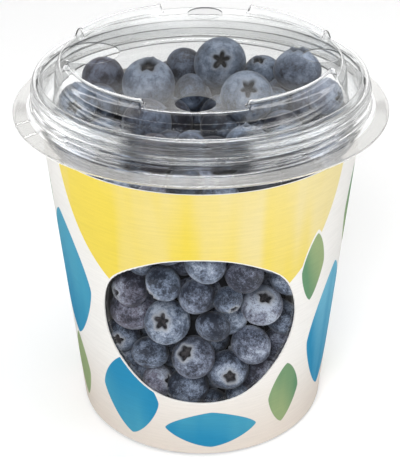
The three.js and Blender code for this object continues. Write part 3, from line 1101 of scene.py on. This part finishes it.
@dataclass
class Lid:
    """The clear push-on lid: a crown with ribs and vents, a channel, a collar and a flange."""

    sheet: float = 0.42
    disc_height: float = 129.5
    turn: float = math.radians(-2.3)
    rib_height: float = 2.05
    rib_arc: float = math.radians(49.0)
    rib_end: float = math.radians(1.0)
    rib_knob: float = 0.17
    vent_radius: float = 6.1
    vent_place: float = 38.6
    big_vent_radius: float = 9.4
    big_vent_place: float = 35.4
    facets: int = 270
    collar_foot: float = 115.6
    ridge_step: float = 0.24
    ridge_depth: float = 0.065
    ridge_fade: tuple[float, float] = (1.4, 1.9)  # radians from the front
    lugs: int = 9
    lug_depth: float = 0.3
    tab_marks: tuple[float, ...] = (math.radians(-72.0), math.radians(-62.5))
    frosted_from: float = 56.4
    disc_edge: float = 45.0
    upright_below: float = 0.05  # of a face's normal, its share upwards
    flat_from: float = 0.99999

    def lines(self) -> tuple[Array, Array]:
        """The lid's outside from its middle to the flange's edge, without and with a rib.

        Returns:
            Two lines with the same number of points, as (radius, height) rows.
        """
        top, rib = self.disc_height, self.disc_height + self.rib_height
        plain = [
            [41.6, top], [42.4, top], [43.0, top], [44.2, top], [45.1, top - 0.05],
            [45.6, top - 0.7],
        ]
        ribbed = [
            [41.9, top], [42.5, top + 0.9], [43.1, rib], [44.3, rib], [45.0, top + 1.2],
            [45.5, top - 0.7],
        ]
        rest = rounded(np.array([
            [45.9, 127.9], [46.5, 126.6], [46.95, 124.0], [47.6, 115.9], [48.3, 115.1],
            [50.4, 115.1], [51.1, 115.9], [51.1, 122.6], [51.6, 124.5], [53.3, 124.3],
            [54.15, 123.2], [54.3, 121.3], [54.85, 120.6], [54.9, 119.0], [54.6, 118.4],
            [55.25, 117.8], [55.4, 115.4], [55.9, 114.5], [60.3, 113.9], [60.95, 113.6],
            [60.95, 113.1],
        ]), 0.7, 4)
        outer = (rest[:, 0] > 53.9) & (rest[:, 1] > self.collar_foot)
        first, last = np.flatnonzero(outer)[[0, -1]]
        collar = finer(rest[first:last + 1], self.ridge_step)
        rest = np.vstack([rest[:first], collar, rest[last + 1:]])
        discs = [np.array([[0.0, top], [30.0, top], *edge, rest[0]]) for edge in (plain, ribbed)]
        return tuple(np.vstack([rounded(disc, 0.7, 4)[:-1], rest]) for disc in discs)

    def rib_ends(self) -> Array:
        """The angles at which ribs start and end."""
        middles = self.turn + math.pi / 4 + np.arange(4) * math.pi / 2
        return (middles[:, None] + np.array([-0.5, 0.5]) * self.rib_arc).ravel()

    def angles(self) -> Array:
        """Spaces angles round the lid, closer together at the ribs' ends and the tab marks.

        Returns:
            The angles, from -pi up.
        """
        near = np.linspace(-1.0, 1.0, 13) * math.radians(2.4)
        marks = np.linspace(-1.0, 1.0, 9) * math.radians(0.9)
        extra = [end + near for end in self.rib_ends()] + [mark + marks for mark in self.tab_marks]
        angles = np.concatenate([even_angles(self.facets), *extra])
        return np.unique(np.round((angles + math.pi) % FULL_TURN - math.pi, 4))

    def rib_share(self, angles: Array) -> Array:
        """Works out how much of a rib there is at each angle.

        Args:
            angles: The angles.

        Returns:
            1 along a rib, 0 in the gaps between ribs, over 1 in the knob before a rib's end.
        """
        inside = self.rib_arc / 2 - np.abs((angles - self.turn) % (math.pi / 2) - math.pi / 4)
        from_knob = (inside - 1.1 * self.rib_end) / (0.7 * self.rib_end)
        knob = self.rib_knob * np.exp(-(from_knob**2))
        return smoothstep(inside, -self.rib_end / 2, self.rib_end / 2) * (1 + knob)

    def build(self) -> None:
        """Blends the plain and the ribbed sheet round the lid, presses in marks and cuts the vents.

        Level faces are shaded flat, and the vents' cut edges have a finish of their own.
        """
        plain, ribbed = self.lines()
        angles = self.angles()
        share = self.rib_share(angles)[:, None, None]
        upper = self.ridged(plain + share * (ribbed - plain), angles)
        plain_under, ribbed_under = offset(plain, self.sheet), offset(ribbed, self.sheet)
        lower = plain_under + share * (ribbed_under - plain_under)
        lower[:, 0, 0] = 0.0
        sheet = self.pressed(np.concatenate([upper, lower[:, ::-1]], axis=1), angles)
        lid = turned_object("clear_lid", sheet, angles)
        cut_away(lid, self.vent_blocks(), 40.0)
        middle = face_values(lid.data, "center")
        level = np.abs(face_values(lid.data, "normal")[:, 2])
        away = np.hypot(middle[:, 0], middle[:, 1])
        frosted = away > self.frosted_from * MM
        cut = (away < self.disc_edge * MM) & (level < self.upright_below)
        lid.data.polygons.foreach_set("material_index", (frosted + 2 * cut).astype(np.int32))
        lid.data.polygons.foreach_set("use_smooth", level < self.flat_from)
        dress(lid, [CLEAR_LID, FROSTED_LID, CUT_EDGE], "clear_lid_plastic", "lid")

    def ridged(self, surface: Array, angles: Array) -> Array:
        """Adds fine level ridges to the outside of the collar's front.

        A point at height h and angle a moves out by
        depth * (sin(2 pi h / 1.35 + 0.8 sin 3a) + 0.6 sin(2 pi h / 0.83 + 1.1 sin(2a + 1))),
        and less towards the back.

        Args:
            surface: (angles, points, 2) radii and heights.
            angles: The angles.

        Returns:
            The moved surface.
        """
        radius, height = surface[..., 0], surface[..., 1]
        a = angles[:, None]
        collar = smoothstep(radius, 53.8, 54.2)
        collar = collar * smoothstep(height, self.collar_foot - 0.3, self.collar_foot + 0.5)
        wave = np.sin(FULL_TURN * height / 1.35 + 0.8 * np.sin(3 * a))
        wave = wave + 0.6 * np.sin(FULL_TURN * height / 0.83 + 1.1 * np.sin(2 * a + 1))
        wave = wave * (1 - smoothstep(np.abs(a), *self.ridge_fade))
        return np.stack([radius + self.ridge_depth * collar * wave, height], axis=-1)

    def pressed(self, sheet: Array, angles: Array) -> Array:
        """Adds what is pressed into the sheet: gripping lugs in the collar and a tab's creases.

        A lug is a stretch of the collar's foot that stands in by lug_depth, and a crease is a
        narrow groove exp(-(distance / width)^2) across the flange.

        Args:
            sheet: (angles, points, 2) radii and heights.
            angles: The angles.

        Returns:
            The pressed sheet.
        """
        radius, height = sheet[..., 0], sheet[..., 1]
        a = angles[:, None]
        foot = smoothstep(radius, 53.6, 54.2) * smoothstep(height, 115.8, 116.6)
        foot = foot * (1 - smoothstep(height, 118.0, 118.8))
        radius = radius - self.lug_depth * foot * smoothstep(np.cos(self.lugs * a), 0.35, 0.5)
        flange = smoothstep(radius, 56.0, 56.6)
        for mark in self.tab_marks:
            height = height - 0.35 * flange * np.exp(-(((a - mark) / math.radians(0.35)) ** 2))
        return np.stack([radius, height], axis=-1)

    def vent_blocks(self) -> list[bpy.types.Object]:
        """Makes an upright round block for each vent.

        Returns:
            The front, right and back block, and the large one at the left.
        """
        turn = even_angles(64)
        blocks = []
        for quarter in range(4):
            place, size = self.vent_place, self.vent_radius
            if quarter == 3:
                place, size = self.big_vent_place, self.big_vent_radius
            angle = self.turn + quarter * math.pi / 2
            x, y = place * math.sin(angle), -place * math.cos(angle)
            circle = np.column_stack([x + size * np.cos(turn), y + size * np.sin(turn), 0 * turn])
            below, above = (circle + (0.0, 0.0, self.disc_height + side) for side in (-3.0, 3.0))
            blocks.append(block("vent", below, above))
        return blocks


# ---- berries

ANY = math.nan  # a crown direction left to chance
FAR_APART = 1000.0  # keeps a berry from pushing itself

# On top: x, y, height and radius, then the crown's angle round from the front, its lift, both in
# degrees, and how open it is, from 0, a star, to 1, a ragged ring.
CHOSEN_ON_TOP = np.array([
    [-32.9, 15.4, 114.8, 7.1, 170, 20, 0],
    [-17.4, 6.2, 116.2, 8.6, 0, 72, 1],
    [6.6, 23.5, 116.7, 8.6, 4, 30, 0.1],
    [14.9, -4, 116, 8.3, 0, 46, 0.2],
    [32.6, 16.8, 116.6, 8, 180, 80, 1],
    [-5.4, 31.4, 111.8, 6.7, 150, 10, 0],
    [21.6, 34.9, 108.3, 6.5, -40, 75, 0.8],
    [-3.7, 16, 109.2, 6, 120, -20, 0],
    [-39.6, -5.4, 115, 6.2, -10, 12, 0.3],
    [40.6, -1, 115, 5.6, 55, 12, 0.6],
    [-17.5, -7.2, 108.5, 7.8, 200, 0, 0],
    [-3.6, -27, 109, 5.6, 90, -30, 0],
    [-14.6, -28.5, 108, 6.2, 160, -10, 0],
    [13.9, -25, 109, 6.7, 180, 70, 0.8],
    [-33.5, 3.8, 110.8, 6.2, 200, 0, 0],
    [6, -7.5, 107, 6.2, 150, -20, 0],
    [26.5, -7, 106, 6.5, 170, 10, 0],
    [35.5, 6, 109, 5.6, 160, 20, 0],
])
# Against the wall: angle round from the front, height and radius, then the crown likewise.
CHOSEN_AT_WINDOW = np.array([
    [-16.7, 51.4, 7.3, -18, 34, 0.3],
    [-4.5, 37.8, 7, -30, 44, 0.7],
    [29.4, 56.4, 6.7, 25, 56, 0.9],
    [25.2, 40.6, 6.5, 150, 0, 0],
    [13.5, 31.5, 6.7, 8, 12, 0.9],
    [-7.4, 24.5, 6.7, 180, -20, 0],
    [5.2, 51.7, 5.5, 160, 30, 0],
    [-2.1, 64, 5.7, 200, 0, 0],
    [-17.2, 68, 5.9, -60, -30, 0.5],
    [-43, 40.8, 5.9, -16, 7, 0.5],
    [-26.1, 37.4, 6, 170, 40, 0],
    [11.5, 62.9, 4.6, 30, -24, 0.5],
    [18.9, 71, 6, 200, 20, 0],
    [-34.5, 62.5, 6.1, -60, 0, 0.4],
    [1.6, 76.8, 6.6, 140, 10, 0],
    [44, 64, 6.2, 60, 60, 0.5],
    [43.5, 47.5, 6.4, 120, 40, 0],
    [-23, 26, 5.7, 60, 20, 0.4],
])


@dataclass
class Heap:
    """Where the berries lie: chosen ones stay put and loose ones settle round them, not fully.

    Behind the window's middle only chosen berries touch the wall: loose ones stay window_gap off
    it. On top they reach up to loose_top, and less high in a hollow. Those above turned_above have
    their crowns towards the back.
    """

    cup: Cup
    count: int = 348
    smallest: float = 5.5
    largest: float = 8.0
    bottom: float = 8.0
    top: float = 112.0
    spread: float = 42.0
    across_step: float = 0.7549
    round_step: float = 0.5698
    size_step: float = 0.618
    steps: int = 200
    push: float = 0.4
    drop: float = 0.25
    crown_inside: float = 45.8
    channel_underside: float = 113.9
    loose_top: float = 114.0
    window_gap: float = 3.5
    gap_half_angle: float = math.radians(30.0)
    gap_low: float = 24.0
    gap_high: float = 80.0
    hollow_middle: tuple[float, float] = (-2.0, -4.0)
    hollow_depth: float = 10.0
    hollow_width: float = 11.0
    turned_above: float = 100.0
    place: Array = field(init=False)
    radius: Array = field(init=False)
    crown: Array = field(init=False)

    def __post_init__(self) -> None:
        """Starts the loose berries on three even sequences and lets everything settle."""
        top, wall = CHOSEN_ON_TOP, CHOSEN_AT_WINDOW
        turn = np.radians(wall[:, 0])
        away = self.cup.inside(wall[:, 1]) - wall[:, 2]
        against = np.column_stack([away * np.sin(turn), -away * np.cos(turn), wall[:, 1]])
        i = np.arange(self.count)
        across = self.spread * np.sqrt(i * self.across_step % 1)
        angle = FULL_TURN * (i * self.round_step % 1)
        height = self.bottom + (self.top - self.bottom) * (i + 0.5) / self.count
        loose = np.column_stack([across * np.cos(angle), across * np.sin(angle), height])
        size = self.smallest + (self.largest - self.smallest) * (i * self.size_step % 1)
        self.place = np.vstack([top[:, :3], against, loose])
        self.radius = np.concatenate([top[:, 3], wall[:, 2], size])
        self.crown = np.vstack([top[:, 4:], wall[:, 3:], np.full((self.count, 3), ANY)])
        loose = np.arange(len(self.place)) >= len(top) + len(wall)
        self.settle(loose)
        high = np.flatnonzero(loose & (self.place[:, 2] > self.turned_above))
        share = high * self.across_step % 1  # spreads their angle, lift and openness
        self.crown[high] = np.column_stack([120 + 120 * share, 40 * share - 30, share**2])

    def settle(self, loose: npt.NDArray[np.bool_]) -> None:
        """Lets the loose berries push apart and drop.

        In each step a pair that overlaps moves apart by a share of its overlap, a loose berry drops
        a little, less each time, and every loose berry stays inside the cup and the lid.

        Args:
            loose: True for each berry that may move.
        """
        share = np.where(loose[:, None] & loose[None], self.push, 2 * self.push)
        reach = self.radius[:, None] + self.radius[None]
        for step in range(self.steps):
            apart = self.place[:, None] - self.place[None]
            length = np.linalg.norm(apart, axis=-1) + np.eye(len(apart)) * FAR_APART
            overlap = np.clip(reach - length, 0.0, None)
            move = (apart * (overlap * share / length)[..., None]).sum(axis=1)
            move[:, 2] -= self.drop * (1 - step / self.steps)
            self.place[loose] = self.contained(self.place[loose] + move[loose], self.radius[loose])

    def contained(self, place: Array, radius: Array) -> Array:
        """Moves berries back inside the cup and the lid.

        In the hollow the highest place is lower by hollow_depth exp(-(distance / hollow_width)^2).

        Args:
            place: Their middles.
            radius: Their radii.

        Returns:
            Their new middles.
        """
        low = self.cup.floor + CLEARANCE + radius
        away = np.linalg.norm(place[:, :2] - self.hollow_middle, axis=1)
        high = self.loose_top - self.hollow_depth * np.exp(-((away / self.hollow_width) ** 2))
        place[:, 2] = np.clip(place[:, 2], low, high - radius)
        below = place[:, 2] < self.channel_underside
        free = np.where(below, self.cup.inside(place[:, 2]), self.crown_inside) - radius
        in_view = np.abs(np.arctan2(place[:, 0], -place[:, 1])) < self.gap_half_angle
        in_view &= (place[:, 2] > self.gap_low) & (place[:, 2] < self.gap_high)
        free = free - self.window_gap * in_view
        away = np.hypot(place[:, 0], place[:, 1])
        place[:, :2] *= np.minimum(1.0, free / np.maximum(away, 1e-9))[:, None]
        outward = np.maximum(self.crown_inside - np.hypot(place[:, 0], place[:, 1]), 0.0)
        headroom = np.sqrt(np.maximum(radius**2 - outward**2, 0.0))
        capped = np.minimum(place[:, 2], self.channel_underside - headroom)
        place[:, 2] = np.where(below & (outward < radius), capped, place[:, 2])
        return place


@dataclass
class BerryShape:
    """One berry's surface, and how it is laid over many places at once.

    The rows run from the middle of the crown's basin over its rim and down to the stem end.
    """

    columns: int
    body_rows: int
    bulge: float = 1.04

    def surface(self, openness: Array, chance: np.random.Generator) -> tuple[Array, Array]:
        """Points of berries of radius about 1, crown up.

        The skin is (sin t, squash cos t). Five sepals stand where s = ((1 + cos 5p) / 2)^k is near
        1, with p the angle round the crown. The basin's edge is at (c + d (1 - s)^0.9) w from its
        middle, where w = 1 + 0.14 cos(p + f) + 0.09 cos(2p + g) makes it uneven: a star if c is
        small against d, and an open ring with higher sepals if it isn't. A wave
        1 + 0.03 sin(2.4 n.q + f) along a direction n then makes the whole berry uneven.

        Args:
            openness: How open each berry's crown is, from 0 to 1.
            chance: Where each berry's own numbers come from.

        Returns:
            A (berries, rows, columns, 3) grid of points, and each row's basin, rim and added bloom.
        """
        count, ring = len(openness), openness[:, None]
        p = np.arange(self.columns) * FULL_TURN / self.columns
        own = chance.random((count, 7, 1))
        squash = 0.84 + 0.12 * own[:, 0]
        sepal = (0.5 + 0.5 * np.cos(5 * p))[None] ** (0.8 + 0.5 * own[:, 1])
        once, twice = np.cos(p + FULL_TURN * own[:, 5]), np.cos(2 * p + FULL_TURN * own[:, 6])
        uneven = 1 + 0.14 * once + 0.09 * twice
        hole = 0.13 + 0.03 * own[:, 2] + 0.12 * ring
        hole = (hole + (0.19 - 0.12 * ring) * (1 - sepal) ** 0.9) * uneven
        rise = 0.015 + (0.02 + 0.05 * ring * (1 + own[:, 3])) * sepal * uneven**3
        lean = (0.01 + 0.03 * own[:, 4]) * sepal
        top = 0.89 * squash
        crown = [
            (0.0 * hole, top - 0.2, 1.0, 0.0, 0.0),
            (0.55 * hole, top - 0.19, 1.0, 0.0, 0.0),
            (0.92 * hole, top - 0.13, 1.0, 0.0, 0.0),
            (hole, top + 0.4 * rise, 0.35, 0.9, 0.4),
            (hole + 0.05 + lean, top + 0.025 + rise, 0.0, 1.0, 0.7),
            (hole + 0.1 + lean, top + 0.02 + 0.5 * rise, 0.0, 0.6, 0.6),
            (0.35 * hole + 0.41, top - 0.01, 0.0, 0.0, 0.4),
        ]
        angles = np.linspace(math.asin(0.6), math.pi, self.body_rows)
        fading = 0.35 * np.exp(-(angles - angles[0]) / 0.25)
        body = [
            (math.sin(t) + 0 * hole, squash * math.cos(t), 0.0, 0.0, bloom)
            for t, bloom in zip(angles, fading)
        ]
        rows = crown + body
        out = np.stack([row[0] for row in rows], axis=1)
        up = np.stack([row[1] + 0 * hole for row in rows], axis=1)
        points = np.stack([out * np.cos(p), out * np.sin(p), up], axis=-1)
        wave = chance.normal(size=(count, 1, 1, 3))
        wave /= np.linalg.norm(wave, axis=-1, keepdims=True)
        phase = chance.uniform(0, FULL_TURN, (count, 1, 1))
        points *= (1 + 0.03 * np.sin(2.4 * (points * wave).sum(axis=-1) + phase))[..., None]
        return points * self.bulge, np.array([row[2:] for row in rows])

    def lay(self, name: str, heap: Heap, chosen: Numbers, skin: BerrySkin) -> None:
        """Makes one piece of many berries.

        Each berry is turned so that its crown points along c = (cos l sin a, -cos l cos a, sin l),
        with a and l its angle and lift, and spun about c by chance.

        Args:
            name: The piece's name.
            heap: Where the berries lie.
            chosen: The berries that the piece holds.
            skin: Their finish.
        """
        chance = np.random.default_rng(SEED + len(chosen))
        count = len(chosen)
        by_chance = np.column_stack([
            chance.uniform(0, 360, count),
            np.degrees(np.arcsin(chance.uniform(-1, 1, count))),
            chance.random(count) ** 2,
        ])
        crown = heap.crown[chosen]
        turn, lift, openness = np.where(np.isnan(crown), by_chance, crown).T
        turn, lift = np.radians(turn), np.radians(lift)
        points, looks = self.surface(openness, chance)
        level = np.cos(lift)
        axis = np.stack([level * np.sin(turn), -level * np.cos(turn), np.sin(lift)], -1)
        side = np.stack([np.cos(turn), np.sin(turn), np.zeros(count)], -1)
        spin = chance.uniform(0, FULL_TURN, count)[:, None]
        first = np.cos(spin) * side + np.sin(spin) * np.cross(axis, side)
        axes = np.stack([first, np.cross(axis, first), axis], axis=1)
        turned = np.einsum("nrcj,njk->nrck", points, axes)
        place, radius = heap.place[chosen], heap.radius[chosen]
        placed = place[:, None, None] + turned * radius[:, None, None, None]
        rows, columns = points.shape[1:3]
        quads = grid_quads(rows, columns, False, True)
        faces = (quads[None] + (np.arange(count) * rows * columns)[:, None, None]).reshape(-1, 4)
        basin, rim, bloom = (np.tile(np.repeat(values, columns), count) for values in looks.T)
        # Painted light and shade by height: more bloom above unshaded_height, less below it.
        height_shading = skin.lift * (place[:, 2] - skin.unshaded_height)
        tone = chance.normal(skin.tone, skin.spread, count) + height_shading
        tone = np.repeat(tone, rows * columns) + bloom
        blush = np.repeat(chance.random(count) ** 3, rows * columns)
        marks = {Mark.TONE: tone, Mark.BASIN: basin, Mark.RIM: rim, Mark.BLUSH: blush}
        piece = mesh_object(name, placed, faces.tolist(), marks)
        dress(piece, [skin], "berry_skin", "berries")


@dataclass
class Berries:
    """All the berries that can be seen, over a dark core of painted shade."""

    cup: Cup
    core_depth: float = 15.0
    core_bottom: float = 14.0
    core_top: float = 98.0
    top_layer: float = 100.0
    deep_layer: float = 86.0
    floor_layer: float = 12.0
    window_low: float = 16.0
    window_high: float = 88.0
    window_half_angle: float = math.radians(52.0)
    near_reach: float = 3.0
    deep_reach: float = 15.0

    def build(self) -> None:
        """Settles the heap, then makes the near berries, the ones behind them and the core."""
        heap = Heap(self.cup)
        place, radius = heap.place, heap.radius
        to_wall = self.cup.inside(place[:, 2]) - np.hypot(place[:, 0], place[:, 1]) - radius
        in_front = np.abs(np.arctan2(place[:, 0], -place[:, 1])) < self.window_half_angle
        at_window = in_front & (place[:, 2] > self.window_low) & (place[:, 2] < self.window_high)
        top = place[:, 2] > self.top_layer
        near = ~top & at_window & (to_wall < self.near_reach)
        behind = at_window & (to_wall < self.deep_reach) | (place[:, 2] > self.deep_layer)
        behind = (behind | (place[:, 2] < self.floor_layer)) & ~top & ~near
        fine = BerryShape(columns=60, body_rows=24)
        plain = BerryShape(columns=20, body_rows=11)
        fine.lay("berries_on_top", heap, np.flatnonzero(top), SHADED_TOP_BERRY)
        fine.lay("berries_at_window", heap, np.flatnonzero(near), BERRY)
        plain.lay("berries_behind", heap, np.flatnonzero(behind), BERRY)
        self.core()

    def core(self) -> None:
        """A dark lumpy body inside the heap: painted shade that stands for the berries deep in it.

        Its turned radius is multiplied by 1 + 0.03 sin(9a + 40u) sin 12 pi u, where a is the angle
        and u runs from 0 to 1 along the turned line.
        """
        low, high = self.core_bottom, self.core_top
        line = rounded(np.array([
            [0.0, low], [self.cup.inside(low) - self.core_depth, low],
            [self.cup.inside(high) - self.core_depth, high - 6.0], [20.0, high], [0.0, high],
        ]), 5.0, 8)
        u = np.linspace(0.0, 1.0, len(line))
        angles = even_angles(96)
        lumps = 1 + 0.03 * np.sin(9 * angles[:, None] + 40 * u) * np.sin(12 * math.pi * u)
        surface = np.stack(np.broadcast_arrays(line[:, 0] * lumps, line[:, 1]), axis=-1)
        dress(turned_object("berry_core", surface, angles), [SHADE], "berry_skin", "berries")


# ---- studio


@dataclass(frozen=True)
class Softbox:
    """A square soft light that no surface mirrors, with its places in metres."""

    name: str
    place: tuple[float, float, float]
    size: float
    power: float
    aim: tuple[float, float, float] = (0.0, 0.0, 0.06)

    def build(self) -> None:
        """Hangs the light so that it faces its aim."""
        light = bpy.data.lights.new(self.name, "AREA")
        light.shape = "SQUARE"
        light.size = self.size
        light.energy = self.power
        lamp = bpy.data.objects.new(self.name, light)
        lamp.location = self.place
        lamp.visible_glossy = False
        lamp.visible_transmission = False
        towards = Vector(self.aim) - Vector(self.place)
        lamp.rotation_euler = towards.to_track_quat("-Z", "Y").to_euler()
        bpy.context.collection.objects.link(lamp)


@dataclass
class Studio:
    """Floor, lights, surroundings and camera."""

    camera_place: tuple[float, float, float] = (0.0, -342.7, 264.45)
    camera_pitch: float = 59.79
    camera_roll: float = -0.22
    lens: float = 89.69
    shift_x: float = -0.003
    floor_radius: float = 6000.0
    low_light: float = 0.22
    high_light: float = 0.5
    dark: float = 0.08
    side: float = 1.3
    back: float = 1.3
    bright: float = 0.9
    strip: float = 4.5
    overhead: float = 8.0
    inner_light: float = 0.75
    strip_height: float = 0.06  # this and the next are heights of a direction, from -1 to 1
    strip_edge: tuple[float, float] = (0.04, 0.025)
    low_edge: tuple[float, float] = (0.335, 0.352)
    bright_edge: tuple[float, float] = (0.376, 0.412)
    overhead_edge: tuple[float, float] = (0.91, 0.96)
    softboxes: tuple[Softbox, ...] = (
        Softbox("overhead softbox", (0.1, 0.1, 1.0), 0.9, 3.4),
        Softbox("front softbox", (-0.25, -0.85, 0.75), 0.4, 6.2),
        Softbox("right softbox", (0.9, -0.3, 0.5), 0.6, 2.0),
    )

    def build(self) -> None:
        """Sets up everything that isn't part of the tub."""
        self.floor()
        for softbox in self.softboxes:
            softbox.build()
        self.surroundings()
        self.camera()
        scene = bpy.context.scene
        scene.view_settings.view_transform = "Standard"
        scene.view_settings.look = "None"
        scene.cycles.max_bounces = 28
        scene.cycles.transmission_bounces = 28
        scene.cycles.transparent_max_bounces = 32
        scene.cycles.diffuse_bounces = 3
        scene.cycles.glossy_bounces = 6
        scene.cycles.caustics_reflective = False
        scene.cycles.caustics_refractive = False

    def floor(self) -> None:
        """A wide round floor."""
        radii = np.linspace(0.0, self.floor_radius, 8)
        floor = turned_object("studio_floor", np.column_stack([radii, 0 * radii]), even_angles(64))
        if floor.data.polygons[0].normal.z < 0:
            floor.data.flip_normals()
        floor.data.materials.append(PAPER.material())

    def surroundings(self) -> None:
        """White to the eye, a soft dome as a light, and bright and dark bands when mirrored."""
        world = bpy.data.worlds.new("studio")
        bpy.context.scene.world = world
        world.use_nodes = True
        shading = Shading(world.node_tree)
        x, y, up = shading.parts(shading.node("TexCoord", {}).outputs["Generated"])
        dome = shading.ramp(up, -0.1, 1.0, self.low_light, self.high_light)
        turn = shading.turn(x, y)
        low = shading.around(turn, self.dark, self.side, self.back)
        from_strip = shading.apart(up, self.strip_height)
        strip = shading.around(turn, 0.4 * self.strip, self.strip, 0.6 * self.strip)
        strip = shading.times(shading.ramp(from_strip, *self.strip_edge), strip)
        low = shading.larger(low, strip)
        mirrored = shading.number(shading.ramp(up, *self.low_edge), low, self.dark)
        above = shading.ramp(up, *self.bright_edge, 0.0, self.bright)
        above = shading.add(above, shading.ramp(up, *self.overhead_edge, 0.0, self.overhead))
        mirrored = shading.larger(mirrored, above)
        inner = shading.times(shading.inner(), self.inner_light)
        mirrored = shading.larger(mirrored, inner)
        strength = shading.number(shading.ray("Diffuse"), 1.0, dome)
        strength = shading.number(shading.mirrored(), strength, mirrored)
        sky = shading.node("Background", {"Color": WHITE, "Strength": strength})
        shading.node("OutputWorld", {"Surface": sky.outputs[0]})

    def camera(self) -> None:
        """The camera looks down on the tub from the front."""
        data = bpy.data.cameras.new("camera")
        data.lens = self.lens
        data.sensor_width = 36.0
        data.shift_x = self.shift_x
        data.clip_start = 0.01
        data.clip_end = 20.0
        camera = bpy.data.objects.new("camera", data)
        turn = Matrix.Rotation(math.radians(self.camera_pitch), 4, "X")
        roll = Matrix.Rotation(math.radians(self.camera_roll), 4, "Z")
        camera.matrix_world = Matrix.Translation(Vector(self.camera_place) * MM) @ turn @ roll
        bpy.context.collection.objects.link(camera)
        bpy.context.scene.camera = camera


def main() -> None:
    """Builds the tub piece by piece."""
    logging.basicConfig(level=logging.INFO, format="%(name)s %(message)s")
    Studio().build()
    cup = Cup()
    cup.build()
    Sleeve(cup).build()
    Berries(cup).build()
    Lid().build()


if __name__ == "__main__":
    main()
